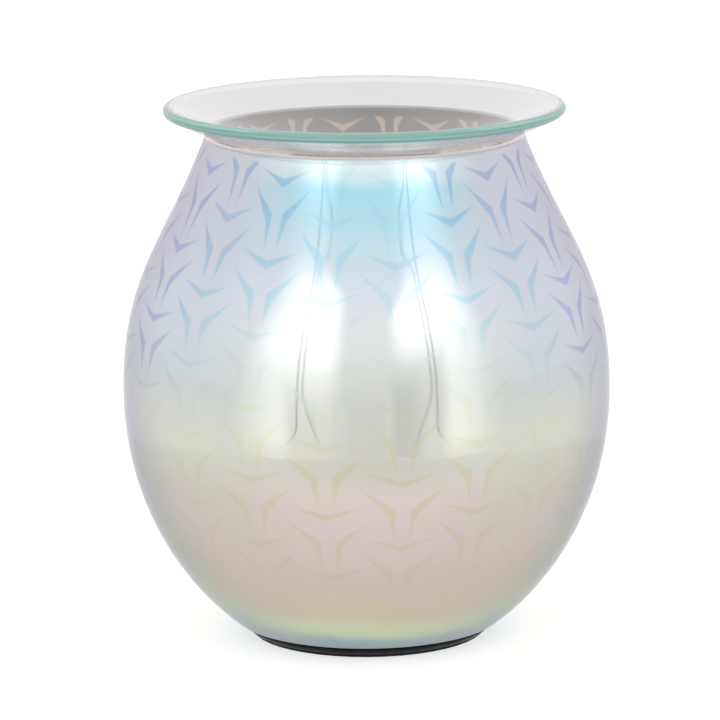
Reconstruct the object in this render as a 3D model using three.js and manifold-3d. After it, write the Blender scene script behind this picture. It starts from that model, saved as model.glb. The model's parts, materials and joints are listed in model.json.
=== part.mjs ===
// Electric oil burner: a mirror-coated glass vase on a low base, with a twist-lock reflector bulb inside
// that warms a clear glass dish resting in the vase's mouth.
// Millimetres, +Z up, front is -Y, origin on the table under the middle of the base.
import * as THREE from "three";
import { mergeVertices } from "three/addons/utils/BufferGeometryUtils.js";
import Module from "manifold-3d";

const wasm = await Module();
wasm.setup();

// Clearances
const SEAT_GAP = 0.1; // between flat faces that are stacked or glued
const FIT_GAP = 0.3; // round a piece that drops into a hole or a recess
const PILOT_GAP = 0.1; // round a screw in the hole that it cuts its thread in
const REST_GAP = 0.2; // between the dish and the rounded lip it rests on
const SWEEP_GAP = 0.3; // between the bulb and what it turns past

// Glass vase, heights above its ground underside
const FOOT_OVERHANG = 1.67; // of the glass past the base's flange
const FOOT_RISE = 35.7; // degrees above level
const FOOT_PULL = 19.1;
const BELLY_R = 67.5;
const BELLY_H = 66.0;
const BELLY_PULL_DOWN = 32.05;
const BELLY_PULL_UP = 32.3;
const MOUTH_R = 44.2;
const MOUTH_LEAN = 20.9; // degrees inwards from upright
const MOUTH_PULL = 30.0;
const VASE_H = 136.2; // where the lip's rounding starts
const GLASS_WALL = 2.8;
const GLASS_FLOOR = 3.2;
const FLOOR_CORNER = 1.0; // height of the slant between the floor and the inside of the wall

// Dish
const DISH_OVERHANG = 12.5; // past the middle of the lip
const DISH_T = 2.8;
const DISH_SLOPE = 24.5; // degrees
const DISH_FLOOR_R = 22.0; // where the slope would meet the floor
const DISH_FILLET = 16.0;
const HEAT_GAP = 16.0; // from the bulb to the dish

// Base
const PAD_T = 0.8;
const PAD_INSET = 0.7;
const PAD_EDGE = 0.25;
const FLANGE_LIP = 2.2; // past the gasket
const FLANGE_T = 1.7;
const FLANGE_BEVEL = 1.1;
const TOWER_WALL = 2.4;
const TOWER_EDGE = 0.8;
const DECK_T = 2.0;
const DECK_MARGIN = 1.5; // from the bracket's feet to the tower's side
const COVER_T = 1.6;
const CORD_W = 6.4; // cord channel at the rear
const CORD_NOTCH = 7.8; // depth of the cover's notch, from the wall of the wiring space
const BOSS_R = 2.9;
const BOSS_INSET = 1.7; // from a boss to the wall of the wiring space
const BOSS_END = 0.8;
const COVER_SCREW_ANGLES = [-90, 30, 150];

// Gaskets and ring nut
const LOWER_GASKET_T = 0.3;
const UPPER_GASKET_T = 0.8;
const GASKET_W = 5.0;
const GASKET_INSET = 0.6; // from the glass's hole
const RING_T = 3.5;
const RING_W = 5.6;
const RING_EDGE = 0.8;
const RING_NOTCHES = 6;
const RING_NOTCH_W = 5.0;
const RING_NOTCH_D = 1.8;

// Bracket
const SHEET_T = 1.0;
const SHEET_BEND = 1.3; // at the middle of the sheet
const BRACKET_W = 14.0;
const BRACKET_FOOT = 7.2;
const LEG_GAP = 1.0; // between the lampholder's side and the legs

// Lampholder
const HOLDER_H = 18.0;
const HOLDER_TOP = 4.0;
const HOLDER_BACK_T = 3.0;
const HOLDER_EDGE = 0.8;
const HOLDER_RIM = 0.8; // past the sunk screw heads
const CAVITY_ROOM = 0.7; // round the pins' heads
const SINK_WALL = 0.3; // between a sunk screw head and the cavity
const SINK_D = 2.3;
const CONTACT_T = 0.6;
const CONTACT_W = 3.0;
const CONTACT_BEND = 0.8;
const CONTACT_INSET = 0.7; // from the cavity's wall
const CONTACT_REACH = 1.9; // of the tongue past the pin's axis

// Bulb
const PIN_CIRCLE = 5.0;
const PIN_R = 1.5;
const PIN_HEAD_R = 2.5;
const PIN_HEAD_T = 2.0;
const PIN_HEAD_EDGE = 0.4;
const PIN_ROOT = 3.0; // length held in the cap
const PIN_LOCK = 45; // degrees of twist
const CAP_LAND = 2.7; // past the pins
const CAP_WALL = 2.7; // round the neck
const CAP_FLOOR = 3.5; // between the pins and the neck
const CAP_FLARE_LOW = 4.6;
const CAP_FLARE_HIGH = 7.8;
const CAP_EDGE = 0.6;
const NECK_R = 8.2;
const NECK_IN = 9.0; // neck length held in the cap
const BULB_R = 25.0;
const BULB_WALL = 1.6;
const BELL_LIFT = 0.4; // of the bell above the cap
const LENS_T = 1.8;
const LENS_EDGE = 1.1;
const LENS_INSET = 0.4;
const CAPSULE_R = 4.4;
const CAPSULE_H = 15.0;
const CAPSULE_LIFT = 1.5; // above the bell's floor
const CAPSULE_TIP = 1.2;
const CAPSULE_EDGE = 0.7;
const BELL_ROOM = 8.6; // from the capsule's tip to the lens
const STEM_R = 1.9;

// Wiring
const LEAD_R = 0.9;
const LEAD_X = 5.5;
const LEAD_OUT = 2.7; // from the bend to the terminal block
const LEAD_BEND = 3.0;
const LEAD_STRAIGHT = 1.5; // straight run below the bracket's plate
const BLOCK_X = 18.0;
const BLOCK_Y = 15.0;
const BLOCK_Z = 7.6;
const BLOCK_CORNER = 1.2;
const BLOCK_ROOM = 1.8; // from the block to the cover
const CLAMP_Y = 4.6; // clamp screws from the block's middle
const CLAMP_R = 1.3;
const CLAMP_SINK = 0.3;
const CLAMP_SLOT_W = 0.5;
const CLAMP_SLOT_D = 0.6;

// Screws
const SCREW_R = 1.25;
const SCREW_HEAD_R = 2.3;
const SCREW_HEAD_T = 1.1;
const SCREW_CROWN = 0.6; // rounding of a raised head
const RECESS_ARM = 1.3;
const RECESS_W = 0.6;
const RECESS_D = 0.6;
const COVER_SCREW_L = 6.0;
const FOOT_SCREW_L = 5.2;
const PLATE_SCREW_END = 1.5; // of a lampholder screw below the bracket's plate
const DECK_SCREW_IN = 1.2; // of the block's screw into the deck
const PILOT_ROOM = 0.4; // past a screw's end

// Facets round a circle, and steps along a curve
const FACETS = 44; // vase, dish and base
const FACETS_MID = 28; // gaskets, lampholder and bulb
const FACETS_HOLE = 12; // holes and screws
const CURVE_STEPS = 7;
const ARC_STEPS = 4;
const LEAD_STEPS = 26;
const THROUGH = 1; // how far a cut runs past the faces it opens

// Sizes that follow: the lampholder, the bracket round it, the tower under that and the glass round the tower
const screwHoleR = SCREW_R + FIT_GAP;
const screwSinkR = SCREW_HEAD_R + FIT_GAP;
const pilotR = SCREW_R + PILOT_GAP;
const leadHoleR = LEAD_R + FIT_GAP;
const cavityR = PIN_CIRCLE + PIN_HEAD_R + CAVITY_ROOM;
const holderScrewX = cavityR + SINK_WALL + screwSinkR;
const holderR = holderScrewX + screwSinkR + HOLDER_RIM;
const legX = holderR + LEG_GAP + SHEET_T / 2;
const footScrewX = legX + SHEET_T / 2 + BRACKET_FOOT / 2;
const footEnd = legX + SHEET_T / 2 + BRACKET_FOOT;
const towerR = Math.hypot(footEnd, BRACKET_W / 2) + DECK_MARGIN;
const hollowR = towerR - TOWER_WALL;
const glassHoleR = towerR + FIT_GAP;
const gasketIn = glassHoleR + GASKET_INSET;
const gasketOut = gasketIn + GASKET_W;
const flangeR = gasketOut + FLANGE_LIP;
const padR = flangeR - FLANGE_BEVEL - PAD_INSET;
const footR = flangeR + FOOT_OVERHANG;

// Heights that follow
const flangeZ = PAD_T + SEAT_GAP;
const flangeTop = flangeZ + FLANGE_T;
const coverTop = flangeZ + COVER_T;
const blockZ = coverTop + BLOCK_ROOM;
const blockTop = blockZ + BLOCK_Z;
const ceilingZ = blockTop + SEAT_GAP;
const deckZ = ceilingZ + DECK_T;
const gasketZ = flangeTop + SEAT_GAP;
const glassZ = gasketZ + LOWER_GASKET_T + SEAT_GAP;
const upperGasketZ = glassZ + GLASS_FLOOR + SEAT_GAP;
const ringZ = upperGasketZ + UPPER_GASKET_T + SEAT_GAP;
const holderH = HOLDER_BACK_T + SEAT_GAP + HOLDER_H;
const pinReach = HOLDER_TOP + 2 * SWEEP_GAP; // from the cap down to a pin's head
const capH = PIN_ROOT + CAP_FLOOR + NECK_IN;
const bellZ = capH + BELL_LIFT;
const capsuleZ = bellZ + BULB_WALL + CAPSULE_LIFT;
const lensZ = capsuleZ + CAPSULE_H + CAPSULE_TIP + BELL_ROOM;
const bulbH = lensZ + LENS_T + LENS_INSET;

const rad = THREE.MathUtils.degToRad;
const v2 = (x, y) => new THREE.Vector2(x, y);
const v3 = (x, y, z) => new THREE.Vector3(x, y, z);

// A closed geometry as a solid, with welded corners, no flat triangles and faces outwards.
function solid(geometry) {
  const bare = new THREE.BufferGeometry();
  bare.setAttribute("position", geometry.getAttribute("position"));
  if (geometry.index) bare.setIndex(geometry.index);
  const welded = mergeVertices(bare, 1e-4);
  const corner = welded.index.array;
  const p = welded.getAttribute("position");
  const kept = [];
  let volume = 0;
  for (let i = 0; i < corner.length; i += 3) {
    const [a, b, c] = corner.slice(i, i + 3);
    if (a === b || b === c || a === c) continue;
    kept.push(a, b, c);
    const [pa, pb, pc] = [a, b, c].map((k) => v3().fromBufferAttribute(p, k));
    volume += pa.dot(pb.cross(pc));
  }
  if (volume < 0) kept.reverse();
  return new wasm.Manifold(
    new wasm.Mesh({ numProp: 3, vertProperties: p.array, triVerts: new Uint32Array(kept) }),
  );
}

// Turns a profile of (radius, height) pairs about the Z axis.
function turned(profile, segments = FACETS) {
  const g = new THREE.LatheGeometry(profile.map(([r, z]) => v2(r, z)), segments);
  g.rotateX(Math.PI / 2);
  return solid(g);
}

// A flat ring between two radii, standing on z = 0.
function ring(inner, outer, high) {
  const corners = [[inner, 0], [outer, 0], [outer, high], [inner, high], [inner, 0]];
  return turned(corners, FACETS_MID);
}

// An upright cylinder, or a cone when the upper radius is given.
function rod(r, low, high, x = 0, y = 0, upperR = r) {
  const g = new THREE.CylinderGeometry(upperR, r, high - low, FACETS_HOLE);
  g.rotateX(Math.PI / 2);
  g.translate(x, y, (low + high) / 2);
  return solid(g);
}

// A box between two corners.
function block(low, high) {
  const size = v3(...high).sub(v3(...low));
  const middle = v3(...high).add(v3(...low)).divideScalar(2);
  const g = new THREE.BoxGeometry(size.x, size.y, size.z);
  g.translate(middle.x, middle.y, middle.z);
  return solid(g);
}

// A flat outline pushed up along Z.
function plate(shape, low, high) {
  const g = new THREE.ExtrudeGeometry(shape, {
    depth: high - low,
    bevelEnabled: false,
    curveSegments: CURVE_STEPS,
  });
  g.translate(0, 0, low);
  return solid(g);
}

// A strip of sheet bent along a path in XZ, with its width centred on Y.
function bentSheet(corners, thick, bend, width) {
  const path = corners.map(([x, z]) => v2(x, z));
  const middle = [];
  path.forEach((at, i) => {
    const before = i > 0 ? at.clone().sub(path[i - 1]).normalize() : null;
    const after = i < path.length - 1 ? path[i + 1].clone().sub(at).normalize() : null;
    if (!before || !after) {
      middle.push([at, before ?? after]);
      return;
    }
    const turn = Math.atan2(before.cross(after), before.dot(after));
    const start = at.clone().addScaledVector(before, -bend * Math.tan(Math.abs(turn) / 2));
    const centre = v2(-before.y, before.x).multiplyScalar(Math.sign(turn) * bend).add(start);
    for (let k = 0; k <= ARC_STEPS; k++) {
      const a = (turn * k) / ARC_STEPS;
      middle.push([start.clone().rotateAround(centre, a), before.clone().rotateAround(v2(0, 0), a)]);
    }
  });
  const side = (half) => middle.map(([at, way]) => v2(at.x - way.y * half, at.y + way.x * half));
  const outline = new THREE.Shape([...side(-thick / 2), ...side(thick / 2).reverse()]);
  const g = new THREE.ExtrudeGeometry(outline, { depth: width, bevelEnabled: false });
  g.rotateX(Math.PI / 2);
  g.translate(0, width / 2, 0);
  return solid(g);
}

// A cross-recessed screw that points down from the underside of its head, which is at the origin.
function screw(length, countersunk = false) {
  const point = [[0, -length], [SCREW_R / 2, -length], [SCREW_R, -length + SCREW_R], [SCREW_R, 0]];
  const raised = [
    [SCREW_HEAD_R, 0],
    [SCREW_HEAD_R, SCREW_HEAD_T - SCREW_CROWN],
    [SCREW_HEAD_R - SCREW_CROWN, SCREW_HEAD_T],
  ];
  const head = countersunk ? [[SCREW_HEAD_R, SCREW_HEAD_T]] : raised;
  const low = SCREW_HEAD_T - RECESS_D;
  const high = SCREW_HEAD_T + THROUGH;
  return turned([...point, ...head, [0, SCREW_HEAD_T]], FACETS_HOLE)
    .subtract(block([-RECESS_ARM, -RECESS_W / 2, low], [RECESS_ARM, RECESS_W / 2, high]))
    .subtract(block([-RECESS_W / 2, -RECESS_ARM, low], [RECESS_W / 2, RECESS_ARM, high]));
}

// Looks
const RUBBER = { color: 0x1b1b1d, roughness: 0.9 };
const BLACK_GLOSS = { color: 0x141416, roughness: 0.25 };
const BLACK_MATT = { color: 0x1d1d1f, roughness: 0.5 };
const GASKET = { color: 0x8f8c86, roughness: 0.85 };
const PEARL_GLASS = { color: 0xd2d2d8, roughness: 0.12, metalness: 0.6 };
const CLEAR_GLASS = { color: 0xdfeae6, roughness: 0.05, transparent: true, opacity: 0.35 };
const STEEL = { color: 0xacaeb2, roughness: 0.35, metalness: 1 };
const BRASS = { color: 0xc89b4a, roughness: 0.3, metalness: 1 };
const CERAMIC = { color: 0xe9e4d8, roughness: 0.55 };
const NYLON = { color: 0xd8d6cc, roughness: 0.6 };
const MIRROR = { color: 0xd9dbe0, roughness: 0.15, metalness: 0.8 };
const BROWN_WIRE = { color: 0x7a4a2a, roughness: 0.7 };
const BLUE_WIRE = { color: 0x3a5f9a, roughness: 0.7 };

// Adds a solid to a group as a named mesh with its own material.
function piece(parent, name, body, look) {
  const m = body.getMesh();
  const points = new Float32Array(m.numVert * 3);
  for (let i = 0; i < m.numVert; i++) {
    points.set(m.vertProperties.subarray(i * m.numProp, i * m.numProp + 3), i * 3);
  }
  const g = new THREE.BufferGeometry();
  g.setAttribute("position", new THREE.BufferAttribute(points, 3));
  g.setIndex(new THREE.BufferAttribute(new Uint32Array(m.triVerts), 1));
  g.computeVertexNormals();
  const mesh = new THREE.Mesh(g, new THREE.MeshStandardMaterial(look));
  mesh.name = name;
  parent.add(mesh);
  return mesh;
}

// Vase: two cubic curves outside, an even wall inside, a rounded lip, and a flat floor with a hole
const rise = rad(FOOT_RISE);
const lean = rad(MOUTH_LEAN);
const lipR = GLASS_WALL / 2;
const lipMiddle = v2(MOUTH_R - lipR * Math.cos(lean), VASE_H - lipR * Math.sin(lean));

function vaseWall() {
  const lower = new THREE.CubicBezierCurve(
    v2(footR, 0),
    v2(footR + FOOT_PULL * Math.cos(rise), FOOT_PULL * Math.sin(rise)),
    v2(BELLY_R, BELLY_H - BELLY_PULL_DOWN),
    v2(BELLY_R, BELLY_H),
  );
  const upper = new THREE.CubicBezierCurve(
    v2(BELLY_R, BELLY_H),
    v2(BELLY_R, BELLY_H + BELLY_PULL_UP),
    v2(MOUTH_R + MOUTH_PULL * Math.sin(lean), VASE_H - MOUTH_PULL * Math.cos(lean)),
    v2(MOUTH_R, VASE_H),
  );
  const wall = [];
  for (const curve of [lower, upper]) {
    for (let i = curve === lower ? 0 : 1; i <= CURVE_STEPS; i++) {
      const way = curve.getTangent(i / CURVE_STEPS);
      wall.push({ at: curve.getPoint(i / CURVE_STEPS), out: v2(way.y, -way.x) });
    }
  }
  return wall;
}

function glassVase() {
  const wall = vaseWall();
  const outside = wall.map(({ at }) => [at.x, at.y]);
  const lip = [];
  for (let i = 1; i < ARC_STEPS; i++) {
    const a = lean + (Math.PI * i) / ARC_STEPS;
    lip.push([lipMiddle.x + lipR * Math.cos(a), lipMiddle.y + lipR * Math.sin(a)]);
  }
  const inside = wall
    .map(({ at, out }) => [at.x - out.x * GLASS_WALL, at.y - out.y * GLASS_WALL])
    .filter(([, z]) => z > GLASS_FLOOR + FLOOR_CORNER)
    .reverse();
  const [lastR, lastZ] = inside[inside.length - 1];
  const floorR = lastR - (lastZ - GLASS_FLOOR) / Math.tan(rise);
  const floor = [[floorR, GLASS_FLOOR], [glassHoleR, GLASS_FLOOR], [glassHoleR, 0]];
  return turned([[glassHoleR, 0], ...outside, ...lip, ...inside, ...floor]);
}
const vase = new THREE.Group();
vase.position.z = glassZ;
piece(vase, "glass_vase", glassVase(), PEARL_GLASS);

// Dish, heights above its underside: a flat floor, a straight slope that rests on the lip, and a rounded edge
const slope = rad(DISH_SLOPE);
const seatR = lipMiddle.x - (lipR + REST_GAP) * Math.sin(slope);
const seatH = (seatR - DISH_FLOOR_R) * Math.tan(slope);
const dishZ = glassZ + lipMiddle.y + (lipR + REST_GAP) * Math.cos(slope) - seatH;

function oilDish() {
  const edgeR = DISH_T / 2;
  const edgeAt = lipMiddle.x + DISH_OVERHANG - edgeR;
  const reach = edgeAt + edgeR * Math.sin(slope) - DISH_FLOOR_R;
  const edgeH = reach * Math.tan(slope) + edgeR * Math.cos(slope);
  const bendAt = DISH_FLOOR_R - DISH_FILLET * Math.tan(slope / 2);
  const under = [];
  const edge = [];
  const upper = [];
  for (let i = 0; i <= ARC_STEPS; i++) {
    const a = (slope * i) / ARC_STEPS;
    const bend = (r) => [bendAt + r * Math.sin(a), DISH_FILLET - r * Math.cos(a)];
    under.push(bend(DISH_FILLET));
    upper.unshift(bend(DISH_FILLET - DISH_T));
    const round = slope - Math.PI / 2 + (Math.PI * i) / ARC_STEPS;
    edge.push([edgeAt + edgeR * Math.cos(round), edgeH + edgeR * Math.sin(round)]);
  }
  return turned([[0, 0], ...under, ...edge, ...upper, [0, DISH_T]]);
}
const dish = new THREE.Group();
dish.position.z = dishZ;
piece(dish, "oil_dish", oilDish(), CLEAR_GLASS);

// Heights of the lamp, from the dish down to the deck
const bulbZ = dishZ - HEAT_GAP - bulbH;
const holderZ = bulbZ - SWEEP_GAP - holderH;
const plateZ = holderZ - SEAT_GAP - SHEET_T;
const footZ = deckZ + SEAT_GAP;

// Base: pad, flange with its tower and deck, and the cover of the wiring space
const base = new THREE.Group();
const cordReach = hollowR - CORD_NOTCH;
const cordSlot = block([-CORD_W / 2, cordReach, -THROUGH], [CORD_W / 2, flangeR + THROUGH, gasketZ]);
const coverScrewR = hollowR - BOSS_INSET - BOSS_R;
const coverScrewAt = COVER_SCREW_ANGLES.map((a) => v2(coverScrewR, 0).rotateAround(v2(0, 0), rad(a)));
const coverScrewZ = flangeZ + SCREW_HEAD_T + SEAT_GAP;
const footScrewAt = [v2(-footScrewX, 0), v2(footScrewX, 0)];
const footScrewZ = footZ + SHEET_T + SEAT_GAP;
const holderScrewSides = [-holderScrewX, holderScrewX];
const leadSides = [-LEAD_X, LEAD_X];
const leadY = -(BLOCK_Y / 2 + LEAD_OUT + LEAD_BEND);

const padEdge = [[padR - PAD_EDGE, 0], [padR, PAD_EDGE], [padR, PAD_T]];
piece(base, "foot_pad", turned([[0, 0], ...padEdge, [0, PAD_T]]).subtract(cordSlot), RUBBER);

function baseHousing() {
  let body = turned([
    [0, ceilingZ],
    [hollowR, ceilingZ],
    [hollowR, flangeZ],
    [flangeR - FLANGE_BEVEL, flangeZ],
    [flangeR, flangeZ + FLANGE_BEVEL],
    [flangeR, flangeTop],
    [towerR, flangeTop],
    [towerR, deckZ - TOWER_EDGE],
    [towerR - TOWER_EDGE, deckZ],
    [0, deckZ],
  ]);
  const bossLow = coverTop + SEAT_GAP;
  const bossHigh = ceilingZ + DECK_T / 2;
  const coverPilot = coverScrewZ + COVER_SCREW_L + PILOT_ROOM;
  const footPilot = footScrewZ - FOOT_SCREW_L - PILOT_ROOM;
  for (const { x, y } of coverScrewAt) {
    body = body.add(rod(BOSS_R, bossLow, bossHigh, x, y));
    body = body.subtract(rod(pilotR, bossLow - THROUGH, coverPilot, x, y));
  }
  for (const { x, y } of footScrewAt) {
    body = body.add(rod(BOSS_R, footPilot - BOSS_END, bossHigh, x, y));
    body = body.subtract(rod(pilotR, footPilot, deckZ + THROUGH, x, y));
  }
  for (const x of leadSides) {
    body = body.subtract(rod(leadHoleR, ceilingZ - THROUGH, deckZ + THROUGH, x, leadY));
  }
  const blockPilot = rod(pilotR, ceilingZ - THROUGH, ceilingZ + DECK_SCREW_IN + PILOT_ROOM);
  return body.subtract(blockPilot).subtract(cordSlot);
}
piece(base, "base_housing", baseHousing(), BLACK_GLOSS);

function baseCover() {
  const r = hollowR - FIT_GAP;
  let body = turned([[0, flangeZ], [r, flangeZ], [r, coverTop], [0, coverTop]]);
  for (const { x, y } of coverScrewAt) {
    body = body.subtract(rod(screwHoleR, flangeZ - THROUGH, coverTop + THROUGH, x, y));
    body = body.subtract(rod(screwSinkR, flangeZ, coverScrewZ, x, y, screwHoleR));
  }
  const turnUp = rod(CORD_W / 2, flangeZ - THROUGH, coverTop + THROUGH, 0, cordReach);
  return body.subtract(turnUp).subtract(cordSlot);
}
piece(base, "base_cover", baseCover(), BLACK_MATT);
coverScrewAt.forEach(({ x, y }, i) => {
  const mesh = piece(base, `base_cover_screw_${i + 1}`, screw(COVER_SCREW_L, true), STEEL);
  mesh.rotation.x = Math.PI;
  mesh.position.set(x, y, coverScrewZ);
});

// Gaskets under and over the glass floor, and the ring nut that holds them down
const lowerGasket = piece(base, "lower_gasket", ring(gasketIn, gasketOut, LOWER_GASKET_T), GASKET);
lowerGasket.position.z = gasketZ;
const upperGasket = piece(base, "upper_gasket", ring(gasketIn, gasketOut, UPPER_GASKET_T), GASKET);
upperGasket.position.z = upperGasketZ;

function clampRing() {
  const inner = towerR + FIT_GAP;
  const outer = inner + RING_W;
  const crown = [[outer, RING_T - RING_EDGE], [outer - RING_EDGE, RING_T], [inner, RING_T]];
  let body = turned([[inner, 0], [outer, 0], ...crown, [inner, 0]], FACETS_MID);
  for (let i = 0; i < RING_NOTCHES; i++) {
    const low = [outer - RING_NOTCH_D, -RING_NOTCH_W / 2, -THROUGH];
    const cut = block(low, [outer + THROUGH, RING_NOTCH_W / 2, RING_T + THROUGH]);
    body = body.subtract(cut.rotate([0, 0, (360 / RING_NOTCHES) * i]));
  }
  return body;
}
piece(base, "clamp_ring", clampRing(), BLACK_MATT).position.z = ringZ;

// Bracket: a bent strip with two feet on the deck and a raised plate
function lampBracket() {
  const footMid = footZ + SHEET_T / 2;
  const plateMid = plateZ + SHEET_T / 2;
  const left = [[-footEnd, footMid], [-legX, footMid], [-legX, plateMid]];
  const right = [[legX, plateMid], [legX, footMid], [footEnd, footMid]];
  let body = bentSheet([...left, ...right], SHEET_T, SHEET_BEND, BRACKET_W);
  for (const { x, y } of footScrewAt) {
    body = body.subtract(rod(screwHoleR, footZ - THROUGH, footZ + SHEET_T + THROUGH, x, y));
  }
  const [low, high] = [plateZ - THROUGH, plateZ + SHEET_T + THROUGH];
  for (const x of holderScrewSides) {
    body = body.subtract(rod(pilotR, low, high, x));
  }
  for (const x of leadSides) {
    body = body.subtract(rod(leadHoleR, low, high, x));
  }
  return body;
}
piece(base, "lamp_bracket", lampBracket(), STEEL);
footScrewAt.forEach(({ x, y }, i) => {
  piece(base, `bracket_screw_${i + 1}`, screw(FOOT_SCREW_L), STEEL).position.set(x, y, footScrewZ);
});

// Lampholder, heights above its back: a back plate, and a body open below with two curved slots in its top
const holder = new THREE.Group();
holder.position.z = holderZ;
const bodyZ = HOLDER_BACK_T + SEAT_GAP;
const cavityTop = holderH - HOLDER_TOP;

function lampholderBack() {
  const side = [[holderR - HOLDER_EDGE, 0], [holderR, HOLDER_EDGE], [holderR, HOLDER_BACK_T]];
  let body = turned([[0, 0], ...side, [0, HOLDER_BACK_T]], FACETS_MID);
  for (const x of holderScrewSides) {
    body = body.subtract(rod(screwHoleR, -THROUGH, HOLDER_BACK_T + THROUGH, x));
  }
  for (const x of leadSides) {
    body = body.subtract(rod(leadHoleR, -THROUGH, HOLDER_BACK_T + THROUGH, x));
  }
  return body;
}
piece(holder, "lampholder_back", lampholderBack(), CERAMIC);

// A slot for a pin's stem that curves to a hole wide enough for its head
function keyway() {
  const half = PIN_R + SWEEP_GAP;
  const end = rad(PIN_LOCK);
  const entry = v2(PIN_CIRCLE, 0).rotateAround(v2(0, 0), end);
  const slot = new THREE.Shape();
  slot.absarc(0, 0, PIN_CIRCLE + half, 0, end, false);
  slot.absarc(entry.x, entry.y, half, end, end + Math.PI, false);
  slot.absarc(0, 0, PIN_CIRCLE - half, end, 0, true);
  slot.absarc(PIN_CIRCLE, 0, half, Math.PI, Math.PI * 2, false);
  const [low, high] = [cavityTop - THROUGH, holderH + THROUGH];
  return plate(slot, low, high).add(rod(PIN_HEAD_R + SWEEP_GAP, low, high, entry.x, entry.y));
}

function lampholderBody() {
  let body = turned([
    [0, cavityTop],
    [cavityR, cavityTop],
    [cavityR, bodyZ],
    [holderR, bodyZ],
    [holderR, holderH - HOLDER_EDGE],
    [holderR - HOLDER_EDGE, holderH],
    [0, holderH],
  ], FACETS_MID);
  for (const x of holderScrewSides) {
    body = body.subtract(rod(screwHoleR, bodyZ - THROUGH, holderH + THROUGH, x));
    body = body.subtract(rod(screwSinkR, holderH - SINK_D, holderH + THROUGH, x));
  }
  const key = keyway();
  return body.subtract(key).subtract(key.rotate([0, 0, 180]));
}
piece(holder, "lampholder_body", lampholderBody(), CERAMIC);

// Contact springs: a foot on the back, an upright leg, and a tongue under the pin's head
function contactSpring() {
  const leg = cavityR - CONTACT_INSET - CONTACT_T / 2;
  const end = PIN_CIRCLE - CONTACT_REACH;
  const low = bodyZ + CONTACT_T / 2;
  const high = cavityTop - PIN_HEAD_T - 2 * SWEEP_GAP - CONTACT_T / 2;
  return bentSheet([[end, low], [leg, low], [leg, high], [end, high]], CONTACT_T, CONTACT_BEND, CONTACT_W);
}
piece(holder, "contact_spring_1", contactSpring(), BRASS);
piece(holder, "contact_spring_2", contactSpring(), BRASS).rotation.z = Math.PI;
const plateScrewZ = holderH - SINK_D + SEAT_GAP;
const plateScrewL = plateScrewZ + SEAT_GAP + SHEET_T + PLATE_SCREW_END;
holderScrewSides.forEach((x, i) => {
  piece(holder, `lampholder_screw_${i + 1}`, screw(plateScrewL), STEEL).position.set(x, 0, plateScrewZ);
});

// Terminal block under the deck, with a wire way and two clamp screws for each pole
const wireZ = blockZ + BLOCK_Z / 2;
const clampAt = leadSides.flatMap((x) => [v2(x, -CLAMP_Y), v2(x, CLAMP_Y)]);

function terminalBlock() {
  const hx = BLOCK_X / 2 - BLOCK_CORNER;
  const hy = BLOCK_Y / 2 - BLOCK_CORNER;
  const outline = new THREE.Shape();
  outline.absarc(hx, -hy, BLOCK_CORNER, -Math.PI / 2, 0, false);
  outline.absarc(hx, hy, BLOCK_CORNER, 0, Math.PI / 2, false);
  outline.absarc(-hx, hy, BLOCK_CORNER, Math.PI / 2, Math.PI, false);
  outline.absarc(-hx, -hy, BLOCK_CORNER, Math.PI, Math.PI * 1.5, false);
  let body = plate(outline, blockZ, blockTop);
  for (const x of leadSides) {
    const way = new THREE.CylinderGeometry(leadHoleR, leadHoleR, BLOCK_Y + 2 * THROUGH, FACETS_HOLE);
    way.translate(x, 0, wireZ);
    body = body.subtract(solid(way));
  }
  for (const { x, y } of clampAt) {
    body = body.subtract(rod(CLAMP_R + PILOT_GAP, blockZ - THROUGH, wireZ, x, y));
  }
  const hole = rod(screwHoleR, blockZ - THROUGH, blockTop + THROUGH);
  return body.subtract(hole).subtract(rod(screwSinkR, blockZ - THROUGH, blockZ + SINK_D));
}
piece(base, "terminal_block", terminalBlock(), NYLON);
clampAt.forEach(({ x, y }, i) => {
  const length = BLOCK_Z / 2 - leadHoleR - CLAMP_SINK;
  const half = CLAMP_SLOT_W / 2;
  const slot = block([-CLAMP_R - THROUGH, -half, -THROUGH], [CLAMP_R + THROUGH, half, CLAMP_SLOT_D]);
  const stud = rod(CLAMP_R, 0, length).subtract(slot);
  piece(base, `terminal_screw_${i + 1}`, stud, BRASS).position.set(x, y, blockZ + CLAMP_SINK);
});
const blockScrewZ = blockZ + SINK_D - SEAT_GAP;
const blockScrewL = ceilingZ + DECK_SCREW_IN - blockScrewZ;
const blockScrew = piece(base, "terminal_fixing_screw", screw(blockScrewL), STEEL);
blockScrew.rotation.x = Math.PI;
blockScrew.position.z = blockScrewZ;

// Leads from the contacts, down through the bracket and the deck, round into the terminal block
function lead() {
  const top = holderZ + HOLDER_BACK_T - SEAT_GAP;
  const low = plateZ - LEAD_STRAIGHT;
  const sag = (low - deckZ) / 2;
  const bow = new THREE.CubicBezierCurve3(
    v3(0, 0, low),
    v3(0, 0, low - sag),
    v3(0, leadY, deckZ + sag),
    v3(0, leadY, deckZ),
  );
  const turn = new THREE.QuadraticBezierCurve3(
    v3(0, leadY, wireZ + LEAD_BEND),
    v3(0, leadY, wireZ),
    v3(0, leadY + LEAD_BEND, wireZ),
  );
  const path = new THREE.CurvePath();
  path.add(new THREE.LineCurve3(v3(0, 0, top), bow.v0));
  path.add(bow);
  path.add(new THREE.LineCurve3(bow.v3, turn.v0));
  path.add(turn);
  path.add(new THREE.LineCurve3(turn.v2, v3(0, -CLAMP_Y + CLAMP_R, wireZ)));
  const section = new THREE.Shape().absarc(0, 0, LEAD_R, 0, Math.PI * 2, false);
  const g = new THREE.ExtrudeGeometry(section, {
    steps: LEAD_STEPS,
    extrudePath: new THREE.CatmullRomCurve3(path.getSpacedPoints(LEAD_STEPS)),
    curveSegments: ARC_STEPS,
  });
  return solid(g);
}
piece(base, "lead_live", lead(), BROWN_WIRE).position.x = -LEAD_X;
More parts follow.
